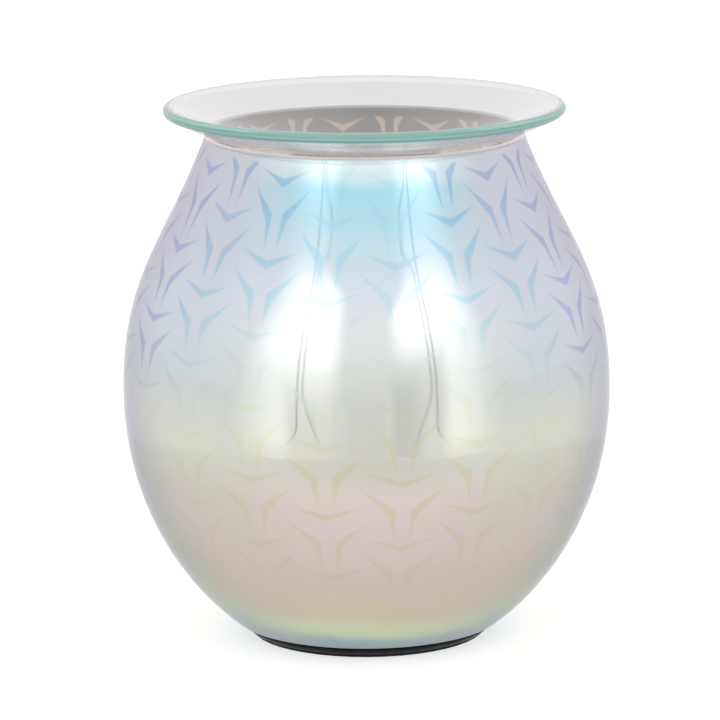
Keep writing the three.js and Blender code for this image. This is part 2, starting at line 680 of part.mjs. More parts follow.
piece(base, "lead_neutral", lead(), BLUE_WIRE).position.x = LEAD_X;

// Bulb, heights above the foot of its cap
const bulb = new THREE.Group();
bulb.position.z = bulbZ;
const neckZ = capH - NECK_IN;
const pinSides = [-PIN_CIRCLE, PIN_CIRCLE];

function bulbCap() {
  const landR = PIN_CIRCLE + PIN_R + CAP_LAND;
  const socketR = NECK_R + FIT_GAP;
  const capR = socketR + CAP_WALL;
  let body = turned([
    [0, 0],
    [landR - CAP_EDGE, 0],
    [landR, CAP_EDGE],
    [landR, CAP_FLARE_LOW],
    [capR, CAP_FLARE_HIGH],
    [capR, capH - CAP_EDGE],
    [capR - CAP_EDGE, capH],
    [socketR, capH],
    [socketR, neckZ - SEAT_GAP],
    [0, neckZ - SEAT_GAP],
  ], FACETS_MID);
  for (const x of pinSides) {
    body = body.subtract(rod(PIN_R + PILOT_GAP, -THROUGH, PIN_ROOT + SEAT_GAP, x));
  }
  return body;
}
piece(bulb, "bulb_cap", bulbCap(), CERAMIC);
pinSides.forEach((x, i) => {
  const tip = -pinReach - PIN_HEAD_T;
  const side = [[PIN_HEAD_R, tip + PIN_HEAD_EDGE], [PIN_HEAD_R, -pinReach]];
  const stem = [[PIN_R, -pinReach], [PIN_R, PIN_ROOT], [0, PIN_ROOT]];
  const pin = turned([[0, tip], [PIN_HEAD_R - PIN_HEAD_EDGE, tip], ...side, ...stem], FACETS_HOLE);
  piece(bulb, `bulb_pin_${i + 1}`, pin, STEEL).position.x = x;
});

// Radius outside the reflector's parabolic bell at a height
const bellR = (z) => NECK_R + (BULB_R - NECK_R) * Math.sqrt((z - bellZ) / (bulbH - bellZ));

function bulbReflector() {
  const outer = [];
  const inner = [];
  for (let i = 0; i <= CURVE_STEPS; i++) {
    const f = (i / CURVE_STEPS) ** 2;
    const z = bellZ + (bulbH - bellZ) * f;
    outer.push([bellR(z), z]);
    inner.unshift([bellR(z) - BULB_WALL, z + BULB_WALL * (1 - f)]);
  }
  const hole = STEM_R + FIT_GAP;
  const bore = [[hole, bellZ + BULB_WALL], [hole, neckZ]];
  return turned([[hole, neckZ], [NECK_R, neckZ], ...outer, ...inner, ...bore], FACETS_MID);
}
piece(bulb, "bulb_reflector", bulbReflector(), MIRROR);

// Front lens, dropped into the reflector's mouth
function bulbLens() {
  const r = bellR(lensZ - BULB_WALL) - BULB_WALL - FIT_GAP;
  const dome = [];
  for (let i = 0; i <= ARC_STEPS; i++) {
    const f = 1 - i / ARC_STEPS;
    dome.push([r * f, LENS_T - (LENS_T - LENS_EDGE) * f ** 2]);
  }
  return turned([[0, 0], [r, 0], ...dome], FACETS_MID);
}
piece(bulb, "bulb_lens", bulbLens(), CLEAR_GLASS).position.z = lensZ;

// Halogen capsule on its stem in the neck
function bulbCapsule() {
  const top = capsuleZ + CAPSULE_H;
  const dome = [];
  for (let i = 0; i < ARC_STEPS; i++) {
    const a = ((Math.PI / 2) * i) / ARC_STEPS;
    dome.push([CAPSULE_R * Math.cos(a), top - CAPSULE_R + CAPSULE_R * Math.sin(a)]);
  }
  const stem = [[0, neckZ + SEAT_GAP], [STEM_R, neckZ + SEAT_GAP], [STEM_R, capsuleZ]];
  const foot = [[CAPSULE_R - CAPSULE_EDGE, capsuleZ], [CAPSULE_R, capsuleZ + CAPSULE_EDGE]];
  return turned([...stem, ...foot, ...dome, [0, top + CAPSULE_TIP]], FACETS_MID);
}
piece(bulb, "bulb_capsule", bulbCapsule(), CLEAR_GLASS);

const burner = new THREE.Group();
burner.name = "electric_oil_burner";
burner.add(base, vase, holder, bulb, dish);
export default burner;
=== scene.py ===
"""Looks of the electric oil burner: coated glass vase, clear dish, reflector bulb, lampholder and base."""

import json
import math

import bpy
import numpy as np
from mathutils import Color, Matrix, Vector


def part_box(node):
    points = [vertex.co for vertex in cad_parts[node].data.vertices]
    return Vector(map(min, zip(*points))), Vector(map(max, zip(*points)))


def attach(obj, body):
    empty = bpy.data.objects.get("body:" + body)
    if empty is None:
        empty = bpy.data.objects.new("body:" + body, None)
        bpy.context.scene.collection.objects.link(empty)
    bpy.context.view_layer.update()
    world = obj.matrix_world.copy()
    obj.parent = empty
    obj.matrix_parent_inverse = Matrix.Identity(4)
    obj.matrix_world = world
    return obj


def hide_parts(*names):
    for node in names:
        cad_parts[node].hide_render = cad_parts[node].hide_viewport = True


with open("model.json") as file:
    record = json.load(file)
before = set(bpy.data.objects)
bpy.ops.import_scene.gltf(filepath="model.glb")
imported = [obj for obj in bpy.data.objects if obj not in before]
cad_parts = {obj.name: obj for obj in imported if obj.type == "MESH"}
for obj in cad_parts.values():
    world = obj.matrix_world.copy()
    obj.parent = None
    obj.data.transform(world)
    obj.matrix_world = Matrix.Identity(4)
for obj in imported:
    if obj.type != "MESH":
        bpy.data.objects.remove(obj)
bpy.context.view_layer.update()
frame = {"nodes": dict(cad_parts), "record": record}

bl_info = {
    "name": "Electric oil burner",
    "version": (1, 0, 0),
    "blender": (4, 5, 0),
    "location": "View3D > Sidebar > Oil burner",
    "description": "Builds the glass, bulb, finishes and studio of an electric oil burner",
    "category": "Object",
}

MM = 0.001
VASE_LOW, VASE_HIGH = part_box("glass_vase")
DISH_LOW, DISH_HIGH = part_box("oil_dish")
_, CAP_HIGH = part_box("bulb_cap")
BULB_LOW, BULB_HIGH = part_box("bulb_reflector")
LENS_LOW, LENS_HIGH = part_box("bulb_lens")
CAPSULE_LOW, CAPSULE_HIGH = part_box("bulb_capsule")

# Fineness of the turned surfaces
TURNS = 192
BULB_TURNS = 96
WALL_STEPS = 64
LIP_STEPS = 12
COATED_LIP = 8  # points of the lip that still belong to the outer face
BEND_STEPS = 16
EDGE_STEPS = 20
BELL_POINTS = 40
LENS_POINTS = 24
CROWN_STEPS = 14
DISH_RING = 4 * MM
LENS_RING = 3 * MM
SHARP = math.radians(32)
SAME_PLACE = 1e-7

UV_LAYER = "turned"
GLASS_IOR = 1.52
WHITE = (1.0, 1.0, 1.0)
BLACK = (0.0, 0.0, 0.0)

# Places on the vase's outer face, in millimetres up the wall from the foot
FOOT_START = -7.7  # start of the profile, at the hole in the floor
TINT_LENGTH = 160.0  # length that the coating's tints are spread over
BLADES_TURN_BLUE = (72.0, 100.0)
RING_FOOT = (105.0, 113.0)  # from here to the ring's top the blades also show straight on
RING_TOP = (134.0, 127.0)
BLADES_END = (151.4, 150.4)
COATING_END = (152.8, 153.2)

# Places on the vase's inner face, in millimetres up from the foot's height
WALL_AND_BACK = 315.0  # length from the foot over the lip and down to the same height inside
INNER_EXTRA = 7.3  # how much longer the inner measure is at the same blade
CUT_END = (157.3, 156.5)
# where the inner face turns paler and glows deep down: painted light
DEEP_PAINTED_LIGHT = (147.0, 139.0)

# Blades of the pattern, in degrees round the vase and millimetres up the wall
COLUMN_PITCH = 36.0
FIRST_COLUMN = 8.2
ROW_PITCH = 20.0
FIRST_ROW = 45.0
ROW_LIFT = (147.0, 121.0, 0.3, 3.4)  # two places on the wall, and how far the rows are shifted at each
ROW_DROP = (112.0, 45.0, 0.0, 2.6)
BLADE_EDGE = (-0.3, 0.6)

# Lines that bound the blades of a cell: slope, and height at the column's middle
V_CELL = 10.0  # how far the V's cell reaches below its row
V_UNDER = (0.53, 0.0)
V_LID = (0.27, 2.5)
V_REACH = 9.4  # degrees from the column's middle to the V's tips
SIDE_CELL = 18.0  # how far the side blades' cell reaches below its row
ARM_UNDER = (1.29, -12.75)
ARM_LID = (0.76, -7.3)
LEG_SIDE = (0.253, 5.75)  # degrees outward for each millimetre up, and degrees at the row
LEG_INNER = 1.6  # degrees from the column's middle to a leg
LEG_REACH = 16.3  # millimetres from the row down to a leg's end
SIDE_ROWS_END = 110.0  # no row of side blades starts above this height

# How the coating looks as the view turns from straight on, 0, to grazing, 1
SLANTING_VIEW = (0.04, 0.28)
GRAZING_VIEW = (0.42, 0.82)
VIOLET_VIEW = (0.25, 0.6)
UPPER_VIEW = (0.045, 0.13)
UPPER_FAINT = 0.2  # share of the upper blades that shows straight on
RING_SHOWN = 0.45  # what the ring adds to it
LOWER_VIEW = (0.08, 0.40)
LOWER_FAINT = 0.35  # share of the lower blades that shows at a slant

# Tints of the coating from the foot, 0, to the mouth, 1. They are partly painted light: the dark first
# stops of SEEN_STRAIGHT and SEEN_SLANTING are partly painted shade for the shaded floor and base reflected
# at the foot, and the last, whiter stops of SEEN_STRAIGHT are a painted highlight that carries the
# softboxes' light up to the lip.
SEEN_STRAIGHT = (
    (0.015, (0.16, 0.25, 0.30)), (0.035, (0.26, 0.38, 0.44)), (0.055, (0.58, 0.65, 0.36)),
    (0.095, (0.64, 0.54, 0.30)), (0.14, (0.68, 0.49, 0.46)), (0.25, (0.79, 0.62, 0.655)),
    (0.37, (0.775, 0.66, 0.635)), (0.44, (0.645, 0.635, 0.575)), (0.54, (0.64, 0.66, 0.61)),
    (0.655, (0.755, 0.78, 0.78)), (0.72, (0.71, 0.765, 0.835)), (0.765, (0.63, 0.735, 0.815)),
    (0.80, (0.565, 0.75, 0.83)), (0.86, (0.455, 0.725, 0.835)), (0.905, (0.41, 0.74, 0.86)),
    (0.932, (0.66, 0.845, 0.88)), (0.95, (0.76, 0.90, 0.915)))
SEEN_SLANTING = (
    (0.00, (0.25, 0.40, 0.46)), (0.035, (0.33, 0.56, 0.57)), (0.07, (0.745, 0.80, 0.545)),
    (0.14, (0.71, 0.60, 0.485)), (0.22, (0.675, 0.575, 0.535)), (0.34, (0.645, 0.60, 0.54)),
    (0.46, (0.70, 0.71, 0.63)), (0.58, (0.62, 0.67, 0.70)), (0.70, (0.625, 0.665, 0.73)),
    (0.82, (0.595, 0.62, 0.705)), (0.93, (0.59, 0.60, 0.665)))
SEEN_GRAZING = (
    (0.00, (0.60, 0.63, 0.65)), (0.10, (0.62, 0.69, 0.57)), (0.24, (0.515, 0.58, 0.46)),
    (0.36, (0.52, 0.55, 0.52)), (0.50, (0.57, 0.59, 0.60)), (0.66, (0.57, 0.59, 0.63)),
    (0.84, (0.55, 0.55, 0.60)), (0.95, (0.57, 0.56, 0.60)))
BLADE_TINT = (
    (0.16, (0.985, 0.965, 0.93)), (0.26, (0.975, 0.92, 0.81)), (0.38, (0.965, 0.935, 0.77)),
    (0.50, (0.975, 0.985, 0.85)), (0.60, (0.90, 0.98, 0.98)), (0.70, (0.73, 0.95, 0.99)),
    (0.78, (0.70, 0.90, 0.97)), (0.92, (0.65, 0.79, 0.94)))
BLADE_VIOLET = (0.735, 0.715, 0.93)

# The two softboxes: places up their cloth are shares of its height
SOFTBOXES = (
    {"name": "softbox_left", "side": -1, "narrowing": 0.19, "top_light": 0.22, "tuck": (0.40, 0.46),
     "rise": (0.03, 0.30), "foot_light": 0.12, "shaded": 0.0},
    {"name": "softbox_right", "side": 1, "narrowing": 0.06, "top_light": 0.32, "tuck": (0.33, 0.43),
     "rise": (0.17, 0.325), "foot_light": 0.08, "shaded": 0.16},
)


# Properties

def length(name, description, default):
    return bpy.props.FloatProperty(
        name=name, description=description, default=default, unit="LENGTH", precision=5)


def angle(name, description, degrees):
    return bpy.props.FloatProperty(
        name=name, description=description, default=math.radians(degrees), subtype="ANGLE")


def factor(name, description, default):
    return bpy.props.FloatProperty(
        name=name, description=description, default=default, min=0.0, subtype="FACTOR")


def colour(name, description, default):
    return bpy.props.FloatVectorProperty(
        name=name, description=description, default=default, size=3, min=0.0, max=1.0, subtype="COLOR")


def place(name, description, default):
    return bpy.props.FloatVectorProperty(
        name=name, description=description, default=default, subtype="XYZ", unit="LENGTH")


class OilBurnerVase(bpy.types.PropertyGroup):
    """Shape and coating of the glass vase"""

    foot_radius: length("Foot radius", "Radius of the ground underside", 35.98 * MM)
    foot_bevel: length("Foot bevel", "How far the underside stops short of the wall", 0.8 * MM)
    foot_rise: angle("Foot rise", "Angle of the wall above level at the foot", 35.7)
    foot_pull: length("Foot pull", "Length of the curve's handle at the foot", 19.1 * MM)
    belly_radius: length("Belly radius", "Largest radius", VASE_HIGH.x)
    belly_height: length("Belly height", "Height of the belly above the underside", 66.0 * MM)
    pull_down: length("Pull down", "Length of the belly's lower handle", 32.05 * MM)
    pull_up: length("Pull up", "Length of the belly's upper handle", 32.3 * MM)
    mouth_radius: length("Mouth radius", "Outer radius where the lip starts", 44.2 * MM)
    mouth_height: length("Mouth height", "Height where the lip starts", 136.2 * MM)
    mouth_lean: angle("Mouth lean", "Angle of the wall from upright at the mouth", 20.9)
    mouth_pull: length("Mouth pull", "Length of the curve's handle at the mouth", 30.0 * MM)
    wall: length("Wall", "Thickness of the glass", 2.8 * MM)
    floor: length("Floor", "Thickness of the glass floor", 3.2 * MM)
    floor_clear: length("Floor clearance", "Height over the floor where the inner curve ends", 0.5 * MM)
    hole_radius: length("Hole radius", "Radius of the hole in the floor", 26.5 * MM)
    roughness: factor("Roughness", "Roughness of the coating", 0.055)
    lip: colour("Lip", "Colour of the bare glass at the lip", (0.90, 0.81, 0.79))
    # the bare lip's glow is painted light, so that the lip stays bright in the dish's shade
    lip_painted_light: factor("Lip glow", "Light that the bare lip passes on", 0.42)
    inside: colour("Inside", "Colour of the coating's inner face", (0.80, 0.795, 0.80))
    # painted light: a glow deep inside the vase
    deep_painted_light: factor("Deep glow", "Light that gathers deep inside", 0.32)
    # the warm cut colour and its glow are painted light coming in through the cut blades
    cut: colour("Cut", "Colour of the cut pattern seen from inside", (0.95, 0.80, 0.68))
    cut_painted_light: factor("Cut glow", "Light that comes in through the cut pattern", 0.20)


class OilBurnerDish(bpy.types.PropertyGroup):
    """Shape and glass of the oil dish"""

    thickness: length("Thickness", "Thickness of the glass", 2.8 * MM)
    slope: angle("Slope", "Angle of the side above level", 24.5)
    floor_radius: length("Floor radius", "Radius where the slope meets the floor", 22.0 * MM)
    fillet: length("Fillet", "Radius of the bend under the floor", 16.0 * MM)
    # the grey of the pane, darker than clear glass, is partly painted shade; the floor's middle is a little
    # clearer
    tint: colour("Tint", "Colour that a pane of the glass lets through", (0.775, 0.778, 0.775))
    floor_tint: colour("Floor tint", "Colour that the floor's middle lets through", (0.925, 0.935, 0.93))
    rim: colour("Rim", "Colour of the ground edge", (0.36, 0.70, 0.62))
    # the strip under the edge is pale painted light that covers a dark reflection there
    pale_strip_width: length("Ground underside", "Width of the ground strip under the edge", 1.2 * MM)


class OilBurnerBulb(bpy.types.PropertyGroup):
    """Shape and glass of the reflector bulb"""

    neck_radius: length("Neck radius", "Radius of the reflector's neck", 8.2 * MM)
    wall: length("Wall", "Thickness of the reflector", 1.6 * MM)
    bell_lift: length("Bell lift", "Height of the bell's start above the cap", 0.4 * MM)
    stem_hole: length("Stem hole", "Radius of the hole for the capsule's stem", 2.2 * MM)
    lens_dome: length("Lens dome", "Fall of the lens from its middle to its edge", 0.7 * MM)
    capsule_radius: length("Capsule radius", "Radius of the glass capsule", 4.4 * MM)
    capsule_length: length("Capsule length", "Height of the capsule without its tip", 15.0 * MM)
    capsule_bevel: length("Capsule bevel", "Bevel round the capsule's foot", 0.7 * MM)
    capsule_tip: length("Capsule tip", "Height of the sealed tip", 1.2 * MM)
    crown_end: angle("Crown end", "Angle above level where the crown meets the tip", 79.2)
    stem_radius: length("Stem radius", "Radius of the capsule's stem", 1.9 * MM)
    glass: colour("Glass", "Colour that the lens and the capsule let through", (0.96, 0.97, 0.97))
    mirror: colour("Mirror", "Colour of the mirror coating", (0.80, 0.81, 0.83))


class OilBurnerFinish(bpy.types.PropertyGroup):
    """Colours of the base, the lampholder and the wiring"""

    gloss_black: colour("Gloss black", "Base moulding", (0.013, 0.013, 0.014))
    matt_black: colour("Matt black", "Cover and ring nut", (0.022, 0.022, 0.024))
    rubber: colour("Rubber", "Foot pad", (0.020, 0.020, 0.021))
    gasket: colour("Gasket", "Silicone gaskets", (0.27, 0.265, 0.25))
    steel: colour("Steel", "Zinc plated steel", (0.62, 0.63, 0.65))
    ceramic: colour("Ceramic", "Unglazed ceramic", (0.80, 0.775, 0.72))
    brass: colour("Brass", "Contacts and clamp screws", (0.62, 0.43, 0.16))
    nylon: colour("Nylon", "Terminal block", (0.70, 0.68, 0.62))
    brown: colour("Brown", "Insulation of the live lead", (0.16, 0.065, 0.026))
    blue: colour("Blue", "Insulation of the neutral lead", (0.035, 0.105, 0.32))


class OilBurnerStage(bpy.types.PropertyGroup):
    """Camera, lights and floor"""

    camera_at: place("Camera", "Where the camera stands", (-0.00177, -1.252, 0.334))
    look_at: place("Aim", "Point that the camera looks at", (-0.00177, 0.0, 0.0765))
    roll: angle("Roll", "Turn of the camera about its own axis", -0.5)
    lens: bpy.props.FloatProperty(
        name="Lens", description="Focal length in millimetres", default=230.35, unit="CAMERA")
    softbox: factor("Softboxes", "Brightness of the two softboxes in front", 1.6)
    box_away: length("Softbox distance", "Distance of a softbox from the object's axis", 235 * MM)
    box_turn: angle("Softbox turn", "Angle of a softbox to one side of the front", 33)
    box_width: length("Softbox width", "Width of a softbox", 220 * MM)
    box_gap: length("Softbox gap", "Height of a softbox's hem above the floor", 2 * MM)
    box_top: length("Softbox top", "Height of a softbox's top above the floor", 620 * MM)
    fill: factor("Fill", "Light of the room on matt surfaces", 0.78)
    floor_reach: length("Floor reach", "Half the width of the floor", 4.0)
    floor_colour: colour("Floor", "Colour of the floor", (0.50, 0.50, 0.50))
    floor_glow: factor("Floor glow", "White that the floor shows besides its own light", 0.53)
    floor_white: factor("Floor white", "White that the floor adds in the camera's own view", 0.20)
    table_radius: length("Table radius", "Radius of the duller round table under the object", 240 * MM)
    table_dull: factor("Table dull", "How much less white the table shows than the floor", 0.05)


class OilBurnerSettings(bpy.types.PropertyGroup):
    """All settings of the oil burner"""

    vase: bpy.props.PointerProperty(type=OilBurnerVase, name="Vase", description="Glass vase")
    dish: bpy.props.PointerProperty(type=OilBurnerDish, name="Dish", description="Oil dish")
    bulb: bpy.props.PointerProperty(type=OilBurnerBulb, name="Bulb", description="Reflector bulb")
    finish: bpy.props.PointerProperty(type=OilBurnerFinish, name="Finish", description="Finishes")
    stage: bpy.props.PointerProperty(type=OilBurnerStage, name="Stage", description="Studio")


# Surfaces

def bezier(a, b, c, d, steps):
    """Cubic curve through a and d with handles b and c: (1-t)^3 a + 3(1-t)^2 t b + 3(1-t) t^2 c + t^3 d.
    Returns its points and its outward normals, the tangent turned a quarter clockwise."""
    t = np.linspace(0.0, 1.0, steps + 1)[:, None]
    a, b, c, d = (np.array(p, float) for p in (a, b, c, d))
    at = (1 - t) ** 3 * a + 3 * (1 - t) ** 2 * t * b + 3 * (1 - t) * t ** 2 * c + t ** 3 * d
    way = 3 * (1 - t) ** 2 * (b - a) + 6 * (1 - t) * t * (c - b) + 3 * t ** 2 * (d - c)
    way /= np.linalg.norm(way, axis=1)[:, None]
    return at, np.stack((way[:, 1], -way[:, 0]), 1)


def arc(centre, radius, start, end, steps):
    """Points on a circle about centre, from the angle start to the angle end."""
    a = np.linspace(start, end, steps + 1)
    return np.stack((centre[0] + radius * np.cos(a), centre[1] + radius * np.sin(a)), 1)


def step_lengths(profile):
    """Length of each step of a profile."""
    return np.linalg.norm(np.diff(profile, axis=0), axis=1)


def stack(*runs):
    """One profile from several runs of points, without points that repeat."""
    profile = np.concatenate([np.atleast_2d(np.array(run, float)) for run in runs])
    return profile[np.concatenate(([True], step_lengths(profile) > SAME_PLACE))]


def refine(profile, longest):
    """The same profile with each long straight run cut into equal parts."""
    parts = np.maximum(1, np.ceil(step_lengths(profile) / longest)).astype(int)
    start = np.repeat(np.arange(len(parts)), parts)
    within = np.arange(parts.sum()) - np.repeat(np.cumsum(parts) - parts, parts)
    t = (within / parts[start])[:, None]
    run = profile[start] * (1 - t) + profile[start + 1] * t
    return np.concatenate((run, profile[-1:]))


def placed(name, data):
    """A new object at the origin, linked to the scene."""
    piece = bpy.data.objects.new(name, data)
    bpy.context.scene.collection.objects.link(piece)
    return piece


def turned(name, profile, turns=TURNS):
    """Surface of revolution about Z. The point of profile step i at the angle f from the front is
    (r_i sin f, -r_i cos f, z_i), with the seam at the rear. Points on the axis become one pole each, and a
    profile that ends where it starts is joined there. The UV map holds the angle, 0 to 1 from the rear, and
    the length along the profile in metres. Returns the piece and each face's step along the profile."""
    along = np.concatenate(([0.0], np.cumsum(step_lengths(profile))))
    steps = len(profile) - 1
    rows = steps if np.allclose(profile[0], profile[-1]) else steps + 1
    r, z = profile[:rows, :1], profile[:rows, 1:]
    f = np.linspace(-np.pi, np.pi, turns, endpoint=False)
    co = np.stack((r * np.sin(f), -r * np.cos(f), z + 0 * f), -1).reshape(-1, 3)
    pole = r[:, 0] < SAME_PLACE
    number = np.arange(rows * turns).reshape(rows, turns)
    number[pole] = number[pole][:, :1]
    i, j = (g.ravel() for g in np.meshgrid(np.arange(steps), np.arange(turns), indexing="ij"))
    up, right = (i + 1) % rows, (j + 1) % turns
    faces = np.stack((number[i, j], number[i, right], number[up, right], number[up, j]), 1)
    uv = np.stack((np.stack((j, j + 1, j + 1, j), 1) / turns,
                   np.stack((along[i], along[i], along[i + 1], along[i + 1]), 1)), -1)
    keep = np.ones(faces.shape, bool)
    keep[pole[i], 1] = False
    keep[pole[up], 3] = False
    sizes = keep.sum(1)
    used = np.unique(faces[keep])
    renumber = np.zeros(rows * turns, int)
    renumber[used] = np.arange(len(used))
    mesh = bpy.data.meshes.new(name)
    mesh.vertices.add(len(used))
    mesh.vertices.foreach_set("co", co[used].ravel().astype(np.float32))
    mesh.loops.add(int(sizes.sum()))
    mesh.loops.foreach_set("vertex_index", renumber[faces[keep]].astype(np.int32))
    mesh.polygons.add(len(faces))
    mesh.polygons.foreach_set("loop_start", (np.cumsum(sizes) - sizes).astype(np.int32))
    layer = mesh.uv_layers.new(name=UV_LAYER)
    layer.data.foreach_set("uv", uv[keep].ravel().astype(np.float32))
    mesh.update(calc_edges=True)
    mesh.validate()
    mesh.polygons.foreach_set("use_smooth", np.ones(len(mesh.polygons), bool))
    mesh.set_sharp_from_angle(angle=SHARP)
    return placed(name, mesh), i


def quad(name, corners):
    """Flat piece of the studio with four corners, and a UV map that starts at the first one."""
    mesh = bpy.data.meshes.new(name)
    mesh.from_pydata([tuple(corner) for corner in corners], [], [(0, 1, 2, 3)])
    layer = mesh.uv_layers.new(name=UV_LAYER)
    layer.data.foreach_set("uv", (0, 0, 1, 0, 1, 1, 0, 1))
    return placed(name, mesh)


def stand_for(piece, node, body, slot, *materials):
    """The piece rides on a body in place of a solid and takes its finish."""
    for material in materials:
        piece.data.materials.append(material)
    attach(piece, body)
    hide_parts(node)


# Materials

class Mix:
    """The node graph of a material or a world, wired by short calls that return sockets."""

    def __init__(self, owner):
        owner.use_nodes = True
        self.owner = owner
        self.tree = owner.node_tree

    @classmethod
    def material(cls, name):
        return cls(bpy.data.materials.new(name))

    @property
    def shader(self):
        return self.tree.nodes["Principled BSDF"]

    def surface(self, socket):
        self.put(self.tree.nodes["Material Output"].inputs["Surface"], socket)

    def node(self, kind, **settings):
        made = self.tree.nodes.new(kind)
        for key, value in settings.items():
            setattr(made, key, value)
        return made

    def put(self, socket, value):
        if isinstance(value, bpy.types.NodeSocket):
            self.tree.links.new(value, socket)
        else:
            socket.default_value = value

    def set(self, **inputs):
        """Fills the shader's sockets: base_color is Base Color, and so on."""
        for key, value in inputs.items():
            label = key.replace("_", " ").title().replace("Ior", "IOR")
            if isinstance(value, (tuple, Color)):
                value = (*value, 1.0)
            self.put(self.shader.inputs[label], value)

    def math(self, operation, a, b=0.0, c=0.0):
        made = self.node("ShaderNodeMath", operation=operation)
        for socket, value in zip(made.inputs, (a, b, c)):
            self.put(socket, value)
        return made.outputs[0]

    def times(self, first, *others):
        for other in others:
            first = self.math("MULTIPLY", first, other)
        return first

    def least(self, first, *others):
        for other in others:
            first = self.math("MINIMUM", first, other)
        return first

    def object_point(self):
        return self.node("ShaderNodeTexCoord").outputs["Object"]

    def radius(self):
        """Distance from the object's upright axis."""
        flat = self.node("ShaderNodeVectorMath", operation="MULTIPLY")
        self.put(flat.inputs[0], self.object_point())
        self.put(flat.inputs[1], (1.0, 1.0, 0.0))
        reach = self.node("ShaderNodeVectorMath", operation="LENGTH")
        self.put(reach.inputs[0], flat.outputs[0])
        return reach.outputs["Value"]

    def uv(self):
        made = self.node("ShaderNodeSeparateXYZ")
        self.put(made.inputs[0], self.node("ShaderNodeUVMap", uv_map=UV_LAYER).outputs[0])
        return made.outputs[0], made.outputs[1]

    def facing(self):
        """0 where the surface faces the eye, 1 where it is seen edge on."""
        made = self.node("ShaderNodeLayerWeight")
        self.put(made.inputs["Blend"], 0.5)
        return made.outputs["Facing"]

    def seen(self):
        """1 for rays from the camera, a gloss or a glass, and 0 for the others."""
        path = self.node("ShaderNodeLightPath")
        rays = [path.outputs[n] for n in ("Is Camera Ray", "Is Glossy Ray", "Is Transmission Ray")]
        return self.math("MAXIMUM", rays[0], self.math("MAXIMUM", rays[1], rays[2]))

    def noise(self, scale, detail=4.0, rough=0.55, stretch=None):
        point = self.object_point()
        if stretch is not None:
            mapping = self.node("ShaderNodeMapping")
            self.put(mapping.inputs["Scale"], stretch)
            self.put(mapping.inputs["Vector"], point)
            point = mapping.outputs[0]
        made = self.node("ShaderNodeTexNoise")
        self.put(made.inputs["Vector"], point)
        self.put(made.inputs["Scale"], scale)
        self.put(made.inputs["Detail"], detail)
        self.put(made.inputs["Roughness"], rough)
        return made.outputs[0]

    def cells(self, scale):
        made = self.node("ShaderNodeTexVoronoi")
        self.put(made.inputs["Vector"], self.object_point())
        self.put(made.inputs["Scale"], scale)
        return made.outputs["Distance"]

    def span(self, value, a, b, to_a=0.0, to_b=1.0, smooth=True):
        """Runs from to_a to to_b while the value runs from a to b, and stays there outside them."""
        made = self.node("ShaderNodeMapRange", interpolation_type="SMOOTHSTEP" if smooth else "LINEAR")
        for socket, number in zip(made.inputs, (value, a, b, to_a, to_b)):
            self.put(socket, number)
        return made.outputs[0]

    def blend(self, amount, a, b, mode="MIX"):
        made = self.node("ShaderNodeMix", data_type="RGBA", blend_type=mode)
        for socket, value in zip((made.inputs[0], made.inputs[6], made.inputs[7]), (amount, a, b)):
            if isinstance(value, (tuple, Color)):
                value = (*value, 1.0)
            self.put(socket, value)
        return made.outputs[2]

    def ramp(self, value, stops):
        """Colours at places from 0 to 1, with eased steps between them."""
        made = self.node("ShaderNodeValToRGB")
        made.color_ramp.interpolation = "EASE"
        marks = made.color_ramp.elements
        for at, _ in stops[1:-1]:
            marks.new(at)
        for mark, (at, shade) in zip(marks, stops):
            mark.position = at
            mark.color = (*shade, 1.0)
        self.put(made.inputs[0], value)
        return made.outputs[0]

    def bump(self, height, strength, distance, normal=None):
        made = self.node("ShaderNodeBump")
        self.put(made.inputs["Strength"], strength)
        self.put(made.inputs["Distance"], distance)
        self.put(made.inputs["Height"], height)
        if normal is not None:
            self.put(made.inputs["Normal"], normal)
        return made.outputs[0]

    def soft_edges(self, radius):
        made = self.node("ShaderNodeBevel", samples=6)
        self.put(made.inputs["Radius"], radius)
        return made.outputs[0]


def scaled(tone, share):
    """The same colour, darker or brighter."""
    return tuple(share * c for c in tone)


def blades(mix, x, y):
    """How far a point lies inside the blades of a column, x degrees from its middle and y mm up it.
    In each cell an open V and two bent side blades are bounded by straight lines. The smallest distance to
    the lines of a blade counts, and the largest of the blades."""

    def cell(reach):
        """Height over the cell's row, in a cell that reaches down below it."""
        return mix.math("SUBTRACT", mix.math("FLOORED_MODULO", mix.math("ADD", y, reach), ROW_PITCH), reach)

    def above(height, line):
        return mix.math("SUBTRACT", height, mix.math("MULTIPLY_ADD", x, *line))

    def below(height, line):
        return mix.times(above(height, line), -1.0)

    v = cell(V_CELL)
    chevron = mix.least(above(v, V_UNDER), below(v, V_LID), mix.math("SUBTRACT", V_REACH, x))
    w = cell(SIDE_CELL)
    leg = mix.math("SUBTRACT", mix.math("MULTIPLY_ADD", w, *LEG_SIDE), x)
    bent = mix.math("MAXIMUM", leg, above(w, ARM_UNDER))
    inner = mix.math("SUBTRACT", x, LEG_INNER)
    foot = mix.math("ADD", w, LEG_REACH)
    below_lip = mix.math("SUBTRACT", SIDE_ROWS_END, mix.math("SUBTRACT", y, w))
    side = mix.least(bent, below(w, ARM_LID), inner, foot, below_lip)
    return mix.math("MAXIMUM", chevron, side)


